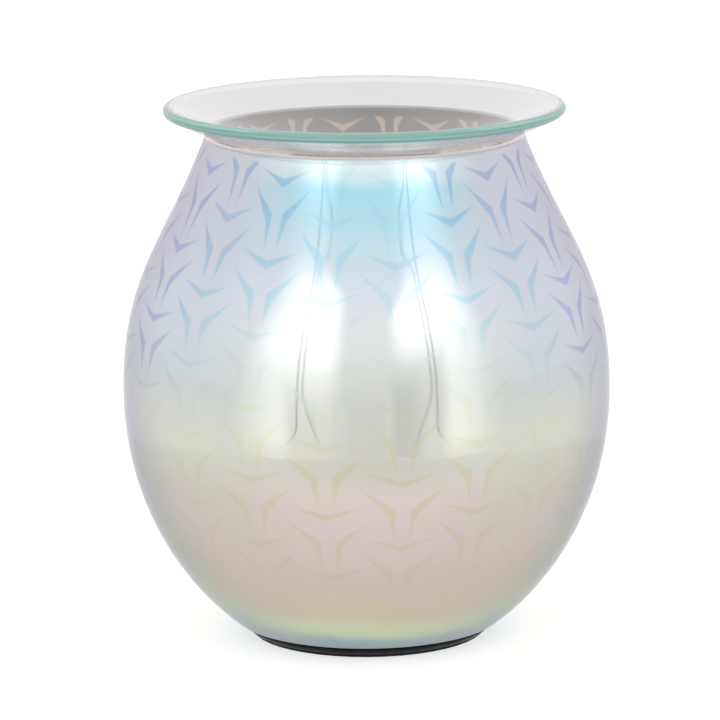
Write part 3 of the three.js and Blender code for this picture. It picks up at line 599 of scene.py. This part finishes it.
def blade_mask(mix, turn, along):
    """Mask of the tessellated blades, from the angle in degrees and the length in millimetres.
    Columns stand every half pitch, and every second one is half a row higher. The rows open up a little
    towards the mouth. The depth inside the blades is cut to 0..1 over a soft edge."""
    column = mix.math("DIVIDE", mix.math("SUBTRACT", turn, FIRST_COLUMN), COLUMN_PITCH)
    off = mix.math("ABSOLUTE", mix.math("SUBTRACT", column, mix.math("ROUND", column)))
    near = mix.times(off, COLUMN_PITCH)
    far = mix.math("SUBTRACT", COLUMN_PITCH / 2, near)
    lift = mix.span(along, *ROW_LIFT, smooth=False)
    drop = mix.span(along, *ROW_DROP, smooth=False)
    row = mix.math("SUBTRACT", mix.math("ADD", mix.math("SUBTRACT", along, FIRST_ROW), lift), drop)
    next_row = mix.math("SUBTRACT", row, ROW_PITCH / 2)
    return mix.span(mix.math("MAXIMUM", blades(mix, near, row), blades(mix, far, next_row)), *BLADE_EDGE)


def vase_place(mix):
    """Angle from the front in degrees and length up the wall in millimetres, from the vase's UV map."""
    u, v = mix.uv()
    turn = mix.math("MULTIPLY_ADD", u, 360.0, -180.0)
    along = mix.math("MULTIPLY_ADD", v, 1 / MM, FOOT_START)
    return turn, along


def pearl_coating(settings):
    """Mirror coating whose tint runs with height and shifts towards grazing view. Its tint is darker at the
    foot, partly painted shade, and whiter at the top of the wall, a painted highlight. The blades are straw
    below and blue above, where they turn violet towards the sides. The lip is bare and glows with painted
    light."""
    mix = Mix.material("pearl_coating")
    turn, along = vase_place(mix)
    cloud = mix.math("SUBTRACT", mix.noise(26.0, 3.0), 0.5)
    up = mix.math("MULTIPLY_ADD", cloud, 0.06, mix.math("DIVIDE", along, TINT_LENGTH))
    facing = mix.facing()
    aslant = mix.span(facing, *SLANTING_VIEW, smooth=False)
    # ground: the coating's tints, partly painted light: painted shade at the foot and a painted highlight
    # at the top
    ground = mix.blend(aslant, mix.ramp(up, SEEN_STRAIGHT), mix.ramp(up, SEEN_SLANTING))
    ground = mix.blend(mix.span(facing, *GRAZING_VIEW), ground, mix.ramp(up, SEEN_GRAZING))
    high = mix.span(along, *BLADES_TURN_BLUE)
    violet = mix.times(mix.span(facing, *VIOLET_VIEW), high)
    tint = mix.blend(violet, mix.ramp(up, BLADE_TINT), BLADE_VIOLET)
    mask = mix.times(blade_mask(mix, turn, along), mix.span(along, *BLADES_END))
    ring = mix.times(mix.span(along, *RING_TOP), mix.span(along, *RING_FOOT))
    faint = mix.math("MULTIPLY_ADD", ring, RING_SHOWN, UPPER_FAINT)
    upper = mix.span(facing, *UPPER_VIEW, faint, 1.0)
    lower = mix.span(facing, *LOWER_VIEW, 1.0, LOWER_FAINT)
    shown = mix.math("MULTIPLY_ADD", high, mix.math("SUBTRACT", upper, lower), lower)
    shade = mix.blend(mix.times(mask, shown), ground, tint, "MULTIPLY")
    bare = mix.span(along, *COATING_END)
    # bare lip: base colour cut to 0.4 of the lip colour, with a glow of painted light added below
    shade = mix.blend(bare, shade, scaled(settings.lip, 0.4))
    haze = mix.span(mix.noise(60.0, 5.0, 0.6), 0.3, 0.7, -0.02, 0.03)
    roughness = mix.math("ADD", mix.math("MULTIPLY_ADD", mask, 0.05, settings.roughness), haze)
    mix.set(base_color=shade, metallic=mix.math("SUBTRACT", 1.0, bare), roughness=roughness,
            normal=mix.bump(mix.noise(13.0, 1.0), 0.10, 0.5 * MM), specular_tint=(0.82, 0.80, 0.86),
            emission_color=settings.lip, emission_strength=mix.times(bare, settings.lip_painted_light))
    return mix.owner


def smoked_inside(settings):
    """Inner face of the coating: smoky grey with painted light. It is darker near the mouth and paler and
    glowing deep down, and the cut blades show a warm painted glow of light coming in through them.
    """
    mix = Mix.material("smoked_inside")
    turn, along = vase_place(mix)
    inner = mix.math("SUBTRACT", WALL_AND_BACK, along)
    mask = blade_mask(mix, turn, mix.math("SUBTRACT", inner, INNER_EXTRA))
    mask = mix.times(mask, mix.span(inner, *CUT_END))
    # painted light: the inner face is darker near the mouth and paler and glowing deep down
    deep = mix.span(inner, *DEEP_PAINTED_LIGHT)
    cloud = mix.span(mix.noise(30.0), 0.3, 0.7, 0.85, 1.12)
    cloud = mix.times(cloud, mix.math("MULTIPLY_ADD", deep, 0.16, 0.84))
    grey = mix.blend(cloud, BLACK, settings.inside)
    # warm colour and glow of the cut blades: painted light coming in through the cut
    shade = mix.blend(mix.times(mask, 0.9), grey, settings.cut)
    light = mix.math("MULTIPLY_ADD", mask, settings.cut_painted_light, mix.times(deep, settings.deep_painted_light))
    mix.set(base_color=shade, roughness=0.32, emission_color=shade, emission_strength=light)
    return mix.owner


def clear_glass(mix, tint, wave):
    """Clear glass with faint waves and smears."""
    smear = mix.span(mix.noise(45.0), 0.45, 0.75, 0.0, 0.06)
    normal = mix.bump(mix.noise(38.0, 1.0), wave, 0.4 * MM)
    mix.set(base_color=tint, roughness=smear, normal=normal, transmission_weight=1.0, ior=GLASS_IOR)
    return mix.owner


def dish_glass(settings):
    """Clear glass of the dish, tinted grey, which is partly painted shade. It lets through a little more
    towards the middle of its floor.
    """
    mix = Mix.material("dish_clear_glass")
    floor = settings.floor_radius
    # grey tint, partly painted shade, clearer towards the middle of the floor
    tint = mix.blend(mix.span(mix.radius(), 1.35 * floor, 0.2 * floor), settings.tint, settings.floor_tint)
    return clear_glass(mix, tint, wave=0.12)


def ground_rim(tint, start, end):
    """Ground and polished edge of the dish: sea green and half clear, with painted light on it: a painted
    highlight line with a painted shade line beside it, a pale painted highlight at its top and darker
    painted shade at its bottom. start and end are the lengths along the profile, in metres, between which
    the edge bends round. The strip before the start is pale, painted light over a dark reflection. Seen
    from within the glass, the edge is clear."""
    mix = Mix.material("dish_ground_rim")
    _, along = mix.uv()
    over = mix.span(along, start, end, smooth=False)
    # painted light on the edge: darker painted shade at the bottom, a painted highlight line at 0.31 with a
    # painted shade line at 0.36, and a pale painted highlight at the top
    pale = tuple(0.55 + 0.45 * c for c in tint)
    shade = mix.ramp(over, (
        (0.0, scaled(tint, 0.9)), (0.26, tint), (0.31, scaled(tint, 1.25)), (0.36, scaled(tint, 0.84)),
        (0.66, tint), (0.79, pale), (0.91, (0.90, 0.92, 0.92)), (1.0, (0.93, 0.94, 0.94))))
    # the strip before the start is pale: painted light over a dark reflection
    shade = mix.blend(mix.span(along, start, start - 0.4 * MM), shade, pale)
    grind = mix.noise(500.0, 3.0)
    within = mix.node("ShaderNodeNewGeometry").outputs["Backfacing"]
    clear = mix.math("MAXIMUM", within, mix.span(over, 0.6, 0.95, 0.3, 0.5))
    shade = mix.blend(within, shade, (0.97, 0.98, 0.98))
    roughness = mix.span(grind, 0.3, 0.7, 0.10, 0.24)
    mix.set(base_color=shade, roughness=roughness, normal=mix.bump(grind, 0.08, 0.1 * MM),
            transmission_weight=clear, ior=GLASS_IOR)
    return mix.owner


def bulb_mirror(tone):
    """Pressed glass with a mirror coating, dimpled all over."""
    mix = Mix.material("bulb_mirror")
    normal = mix.bump(mix.cells(260.0), 0.5, 0.6 * MM)
    stain = mix.span(mix.noise(70.0), 0.3, 0.7, 0.10, 0.22)
    shade = mix.blend(mix.span(mix.noise(55.0), 0.35, 0.7), tone, scaled(tone, 0.86))
    mix.set(base_color=shade, metallic=1.0, roughness=stain, normal=normal)
    return mix.owner


def moulded(name, tone, roughness, grain, depth, edge, shine=0.5):
    """Moulded plastic or rubber: an even grain, cloudy gloss and rounded edges."""
    mix = Mix.material(name)
    worn = tuple(min(1.0, 1.5 * c + 0.004) for c in tone)
    shade = mix.blend(mix.span(mix.noise(140.0, 3.0), 0.35, 0.75), tone, worn)
    gloss = mix.span(mix.noise(320.0, 3.0), 0.3, 0.7, 0.8 * roughness, 1.2 * roughness)
    normal = mix.bump(mix.noise(grain, 2.0), depth, 0.12 * MM, mix.soft_edges(edge))
    mix.set(base_color=shade, roughness=gloss, normal=normal, specular_ior_level=shine)
    return mix.owner


def plated(name, tone, roughness):
    """Plated metal with drawn streaks, faint stains and rounded edges."""
    mix = Mix.material(name)
    streak = mix.noise(420.0, 3.0, 0.6, stretch=(1, 1, 14))
    shade = mix.blend(mix.span(mix.noise(90.0), 0.35, 0.7), tone, scaled(tone, 0.78))
    gloss = mix.span(streak, 0.25, 0.75, 0.75 * roughness, 1.3 * roughness)
    normal = mix.bump(streak, 0.12, 0.08 * MM, mix.soft_edges(0.25 * MM))
    mix.set(base_color=shade, metallic=1.0, roughness=gloss, normal=normal)
    return mix.owner


def fired(name, tone):
    """Unglazed ceramic: chalky, with fine pores and sparse darker specks."""
    mix = Mix.material(name)
    cloud = mix.blend(mix.span(mix.noise(110.0), 0.3, 0.75), tone, scaled(tone, 0.88))
    shade = mix.blend(mix.span(mix.cells(900.0), 0.10, 0.22, 0.82, 1.0), BLACK, cloud)
    normal = mix.bump(mix.noise(1500.0, 3.0), 0.25, 0.1 * MM, mix.soft_edges(0.3 * MM))
    mix.set(base_color=shade, roughness=mix.span(mix.noise(200.0), 0.3, 0.7, 0.5, 0.68), normal=normal)
    return mix.owner


def softbox_cloth(strength, narrowing, top_light, tuck, rise, foot_light, shaded):
    """Lit cloth of a softbox, with u across it from its outer to its inner side and v up it.
    Its light fades towards both sides, the floor and the top. Two thin seams run up it, part at the hem and
    bulge apart near the top."""
    outer_at, outer_flare = 0.597, -0.20
    inner_at, inner_flare, inner_bulge = 0.638, 0.14, 0.10
    mix = Mix.material("softbox")
    u, v = mix.uv()
    from_outer = mix.math("SUBTRACT", u, mix.span(v, 0.12, 0.42, 0.0, narrowing))
    to_inner = mix.math("ADD", u, mix.span(v, *tuck, 0.0, 0.16))
    across = mix.times(mix.span(from_outer, 0.0, 0.45), mix.span(to_inner, 1.0, 0.78))
    skirt = mix.times(mix.span(u, 0.60, 0.46, 0.0, 0.55), mix.span(v, 0.0, 0.05, 0.5, 1.0))
    foot = mix.math("MAXIMUM", mix.span(v, *rise, foot_light, 1.0), skirt)
    top = mix.span(v, 0.385, 0.462, 1.0, top_light)
    light = mix.math("MULTIPLY_ADD", mix.times(across, foot, top), strength - 1.0, 1.0)
    shade = mix.times(mix.span(u, 0.62, 0.84), mix.span(u, 1.0, 0.88), mix.span(v, 0.24, 0.10))
    light = mix.times(light, mix.math("MULTIPLY_ADD", shade, -shaded, 1.0))
    hem = mix.span(v, 0.085, 0.0)
    outer = mix.math("MULTIPLY_ADD", mix.times(hem, hem), outer_flare, outer_at)
    inner = mix.math("MULTIPLY_ADD", mix.span(v, 0.14, 0.0), inner_flare, inner_at)
    inner = mix.math("MULTIPLY_ADD", mix.span(v, 0.425, 0.47), inner_bulge, inner)
    drawn = mix.span(v, 0.01, 0.07)
    for seam, wide, roam, dark in ((outer, 0.011, 0.02, 0.42), (inner, 0.012, 0.03, 0.34)):
        wander = mix.math("SUBTRACT", mix.noise(14.0, 2.0), 0.5)
        off = mix.math("ABSOLUTE", mix.math("SUBTRACT", u, mix.math("MULTIPLY_ADD", wander, roam, seam)))
        line = mix.times(mix.span(off, wide, 0.3 * wide), drawn)
        light = mix.times(light, mix.math("MULTIPLY_ADD", line, -dark, 1.0))
    glow = mix.node("ShaderNodeEmission")
    mix.put(glow.inputs["Strength"], light)
    mix.surface(glow.outputs[0])
    return mix.owner


def studio_white(settings):
    """Pale floor that adds white where it is seen, a little less of it on a round table."""
    mix = Mix.material("studio_floor")
    mix.set(base_color=settings.floor_colour, roughness=0.9)
    edge = settings.table_radius
    table = mix.span(mix.radius(), edge, 0.94 * edge, 0.0, -settings.table_dull)
    shown = mix.math("ADD", table, settings.floor_glow)
    white = mix.times(mix.node("ShaderNodeLightPath").outputs["Is Camera Ray"], settings.floor_white)
    glow = mix.node("ShaderNodeEmission")
    mix.put(glow.inputs["Strength"], mix.math("MULTIPLY_ADD", mix.seen(), shown, white))
    both = mix.node("ShaderNodeAddShader")
    mix.put(both.inputs[0], mix.shader.outputs[0])
    mix.put(both.inputs[1], glow.outputs[0])
    mix.surface(both.outputs[0])
    return mix.owner


# Operators

class OIL_BURNER_OT_vase(bpy.types.Operator):
    """Glass vase: an egg-shaped turned wall with a rounded lip, coated outside and smoky inside"""

    bl_idname = "oil_burner.vase"
    bl_label = "Glass vase"

    def execute(self, context):
        s = context.scene.oil_burner.vase
        rise, lean = s.foot_rise, s.mouth_lean
        foot = (s.foot_radius, 0.0)
        belly = (s.belly_radius, s.belly_height)
        mouth = (s.mouth_radius, s.mouth_height)
        foot_handle = (foot[0] + s.foot_pull * math.cos(rise), s.foot_pull * math.sin(rise))
        mouth_handle = (mouth[0] + s.mouth_pull * math.sin(lean), mouth[1] - s.mouth_pull * math.cos(lean))
        lower, lower_out = bezier(foot, foot_handle, (belly[0], belly[1] - s.pull_down), belly, WALL_STEPS)
        upper, upper_out = bezier(belly, (belly[0], belly[1] + s.pull_up), mouth_handle, mouth, WALL_STEPS)
        wall = np.concatenate((lower, upper[1:]))
        out = np.concatenate((lower_out, upper_out[1:]))
        half = s.wall / 2
        lip = arc(mouth - half * out[-1], half, lean, lean + math.pi, LIP_STEPS)
        inside = (wall - s.wall * out)[::-1]
        inside = inside[inside[:, 1] > s.floor + s.floor_clear]
        corner = (inside[-1, 0] - (inside[-1, 1] - s.floor) / math.tan(rise), s.floor)
        ground = [(s.hole_radius, 0.0), (foot[0] - s.foot_bevel, 0.0)]
        floor = [corner, (s.hole_radius, s.floor), (s.hole_radius, 0.0)]
        profile = stack(ground, wall[1:], lip, inside, floor)
        profile[:, 1] += VASE_LOW.z
        vase, row = turned("vase_glass", profile)
        split = len(stack(ground, wall[1:], lip[:COATED_LIP]))
        vase.data.polygons.foreach_set("material_index", (row >= split).astype(np.int32))
        stand_for(vase, "glass_vase", "base", "coated_glass", pearl_coating(s), smoked_inside(s))
        return {"FINISHED"}


class OIL_BURNER_OT_dish(bpy.types.Operator):
    """Oil dish: a turned pane with a flat floor, a bend, a straight slope and a rounded edge"""

    bl_idname = "oil_burner.dish"
    bl_label = "Oil dish"

    def execute(self, context):
        s = context.scene.oil_burner.dish
        half = s.thickness / 2
        bend = (s.floor_radius - s.fillet * math.tan(s.slope / 2), s.fillet)
        rim_at = DISH_HIGH.x - half
        reach = rim_at + half * math.sin(s.slope) - s.floor_radius
        rim = (rim_at, reach * math.tan(s.slope) + half * math.cos(s.slope))
        down = -math.pi / 2
        under = arc(bend, s.fillet, down, down + s.slope, BEND_STEPS)
        edge = arc(rim, half, down + s.slope, down + s.slope + math.pi, EDGE_STEPS)
        upper = arc(bend, s.fillet - s.thickness, down + s.slope, down, BEND_STEPS)
        # pale strip under the edge, painted light in the rim's finish
        strip = edge[0] - s.pale_strip_width * np.array((math.cos(s.slope), math.sin(s.slope)))
        below = refine(stack((0, 0), under, strip, edge[0]), DISH_RING)
        above = refine(stack(edge[-1], upper, (0, s.thickness)), DISH_RING)
        profile = stack(below, edge, above)
        profile[:, 1] += DISH_LOW.z
        dish, row = turned("dish_glass", profile)
        first = len(below) - 2
        last = first + len(edge)
        dish.data.polygons.foreach_set("material_index", ((row >= first) & (row < last)).astype(np.int32))
        start = step_lengths(below).sum()
        rim_glass = ground_rim(tuple(s.rim), start, start + math.pi * half)
        stand_for(dish, "oil_dish", "dish", "clear_glass", dish_glass(s), rim_glass)
        return {"FINISHED"}


class OIL_BURNER_OT_bulb(bpy.types.Operator):
    """Reflector bulb: a turned parabolic bell, a domed lens and a capsule on its stem"""

    bl_idname = "oil_burner.bulb"
    bl_label = "Reflector bulb"

    def execute(self, context):
        s = context.scene.oil_burner.bulb
        self.bell(s)
        glass = clear_glass(Mix.material("bulb_clear_glass"), tuple(s.glass), wave=0.5)
        self.lens(s, glass)
        self.capsule(s, glass)
        return {"FINISHED"}

    def bell(self, s):
        """Parabola r = neck + (mouth - neck) sqrt(f), z = start + (high - start) f, with f from 0 to 1, and
        the hollow inside it, one wall nearer to the axis and up to one wall higher."""
        start, high, low = CAP_HIGH.z + s.bell_lift, BULB_HIGH.z, BULB_LOW.z
        mouth = BULB_HIGH.x
        f = np.linspace(0.0, 1.0, BELL_POINTS)[:, None] ** 2
        bell = np.hstack((s.neck_radius + (mouth - s.neck_radius) * np.sqrt(f), start + (high - start) * f))
        hollow = (bell + np.hstack((-s.wall + 0 * f, s.wall * (1 - f))))[::-1]
        bore = [(s.stem_hole, start + s.wall), (s.stem_hole, low)]
        profile = stack((s.stem_hole, low), (s.neck_radius, low), bell, hollow, bore)
        reflector, _ = turned("bulb_bell", profile, BULB_TURNS)
        stand_for(reflector, "bulb_reflector", "bulb", "bulb_mirror", bulb_mirror(tuple(s.mirror)))

    def lens(self, s, glass):
        """Disc with the dome r = R g, z = height - dome g^2, with g from 1 at its edge to 0 inside."""
        reach, height = LENS_HIGH.x, LENS_HIGH.z - LENS_LOW.z
        g = np.linspace(1.0, 0.0, LENS_POINTS)[:, None]
        dome = np.hstack((reach * g, height - s.lens_dome * g ** 2)) + (0, LENS_LOW.z)
        profile = refine(stack((0, LENS_LOW.z), (reach, LENS_LOW.z), dome), LENS_RING)
        lens, _ = turned("bulb_front_lens", profile, BULB_TURNS)
        stand_for(lens, "bulb_lens", "bulb", "clear_glass", glass)

    def capsule(self, s, glass):
        """Cylinder on a thinner stem, with a bevelled foot, a round crown and a sealed tip."""
        r, bevel, top = s.capsule_radius, s.capsule_bevel, CAPSULE_HIGH.z - s.capsule_tip
        sit = top - s.capsule_length
        stem = [(0, CAPSULE_LOW.z), (s.stem_radius, CAPSULE_LOW.z), (s.stem_radius, sit)]
        foot = [(r - bevel, sit), (r, sit + bevel)]
        crown = arc((0, top - r), r, 0.0, s.crown_end, CROWN_STEPS)
        capsule, _ = turned("bulb_inner_capsule", stack(stem, foot, crown, (0, CAPSULE_HIGH.z)), BULB_TURNS)
        stand_for(capsule, "bulb_capsule", "bulb", "clear_glass", glass)


class OIL_BURNER_OT_finishes(bpy.types.Operator):
    """Finishes of the base, the lampholder, the metal pieces and the wiring"""

    bl_idname = "oil_burner.finishes"
    bl_label = "Finishes"

    def execute(self, context):
        s = context.scene.oil_burner.finish
        tone = {key: tuple(getattr(s, key)) for key in s.__annotations__}
        lead = {"roughness": 0.38, "grain": 1600.0, "depth": 0.2, "edge": 0.2 * MM}
        looks = {
            "black_gloss": moulded("gloss_black_moulding", tone["gloss_black"], roughness=0.32, grain=700.0,
                                   depth=0.10, edge=0.7 * MM, shine=0.16),
            "black_matt": moulded("matt_black_moulding", tone["matt_black"], roughness=0.48, grain=2200.0,
                                  depth=0.35, edge=0.4 * MM),
            "rubber": moulded("rubber_pad", tone["rubber"], roughness=0.75, grain=2600.0, depth=0.5,
                              edge=0.2 * MM, shine=0.25),
            "gasket": moulded("silicone_gasket", tone["gasket"], roughness=0.6, grain=1500.0, depth=0.25,
                              edge=0.2 * MM),
            "steel": plated("zinc_plate", tone["steel"], roughness=0.30),
            "ceramic": fired("unglazed_ceramic", tone["ceramic"]),
            "brass": plated("plain_brass", tone["brass"], roughness=0.26),
            "nylon": moulded("natural_nylon", tone["nylon"], roughness=0.42, grain=900.0, depth=0.15,
                             edge=0.3 * MM),
            "wire_brown": moulded("brown_insulation", tone["brown"], **lead),
            "wire_blue": moulded("blue_insulation", tone["blue"], **lead),
        }
        for part in frame["record"]["subparts"]:
            look = looks.get(part["material_slot"])
            if look is not None:
                mesh = frame["nodes"][part["node"]].data
                mesh.materials.clear()
                mesh.materials.append(look)
        return {"FINISHED"}


class OIL_BURNER_OT_stage(bpy.types.Operator):
    """Camera, white floor, two softboxes and the room's soft light"""

    bl_idname = "oil_burner.stage"
    bl_label = "Stage"

    def execute(self, context):
        scene = context.scene
        s = scene.oil_burner.stage
        scene.view_settings.view_transform = "Standard"
        self.camera(scene, s)
        self.floor(s)
        self.room(scene, s)
        for box in SOFTBOXES:
            self.softbox(s, **box)
        return {"FINISHED"}

    def camera(self, scene, s):
        at, aim = Vector(s.camera_at), Vector(s.look_at)
        lens = bpy.data.cameras.new("studio_camera")
        lens.lens = s.lens
        lens.sensor_width = 36.0
        lens.clip_end = 20.0
        camera = placed("studio_camera", lens)
        turn = (aim - at).to_track_quat("-Z", "Y").to_matrix().to_4x4()
        camera.matrix_world = Matrix.Translation(at) @ turn @ Matrix.Rotation(s.roll, 4, "Z")
        scene.camera = camera

    def floor(self, s):
        half = s.floor_reach
        corners = ((-half, -half, 0), (half, -half, 0), (half, half, 0), (-half, half, 0))
        floor = quad("studio_floor", corners)
        floor.data.materials.append(studio_white(s))

    def room(self, scene, s):
        """White room, at full strength where it is seen and a little weaker as a light."""
        mix = Mix(bpy.data.worlds.new("studio_room"))
        scene.world = mix.owner
        back = mix.tree.nodes["Background"]
        mix.put(back.inputs["Color"], (*WHITE, 1.0))
        mix.put(back.inputs["Strength"], mix.math("MULTIPLY_ADD", mix.seen(), 1.0 - s.fill, s.fill))

    def softbox(self, s, name, side, **cloth):
        """A tall panel on the floor, to one side of the camera, that faces the object's axis."""
        aim = Vector((side * math.sin(s.box_turn), -math.cos(s.box_turn), 0.0))
        inward = Vector((side * aim.y, -side * aim.x, 0.0))
        outer = s.box_away * aim - s.box_width / 2 * inward
        inner = s.box_away * aim + s.box_width / 2 * inward
        low, high = Vector((0, 0, s.box_gap)), Vector((0, 0, s.box_top))
        panel = quad(name, (outer + low, inner + low, inner + high, outer + high))
        panel.data.materials.append(softbox_cloth(s.softbox, **cloth))
        panel.visible_camera = False
        panel.visible_shadow = False


STEPS = (OIL_BURNER_OT_stage, OIL_BURNER_OT_vase, OIL_BURNER_OT_dish, OIL_BURNER_OT_bulb,
         OIL_BURNER_OT_finishes)


class OIL_BURNER_PT_panel(bpy.types.Panel):
    """Lists the steps that build the oil burner"""

    bl_idname = "OIL_BURNER_PT_panel"
    bl_label = "Oil burner"
    bl_space_type = "VIEW_3D"
    bl_region_type = "UI"
    bl_category = "Oil burner"

    def draw(self, context):
        for step in STEPS:
            self.layout.operator(step.bl_idname)


CLASSES = (OilBurnerVase, OilBurnerDish, OilBurnerBulb, OilBurnerFinish, OilBurnerStage, OilBurnerSettings,
           *STEPS, OIL_BURNER_PT_panel)


def register():
    for cls in CLASSES:
        bpy.utils.register_class(cls)
    bpy.types.Scene.oil_burner = bpy.props.PointerProperty(
        type=OilBurnerSettings, name="Oil burner", description="Settings of the oil burner")


def unregister():
    del bpy.types.Scene.oil_burner
    for cls in reversed(CLASSES):
        bpy.utils.unregister_class(cls)


def main():
    register()
    bpy.ops.oil_burner.stage()
    bpy.ops.oil_burner.vase()
    bpy.ops.oil_burner.dish()
    bpy.ops.oil_burner.bulb()
    bpy.ops.oil_burner.finishes()


if __name__ == "__main__":
    main()
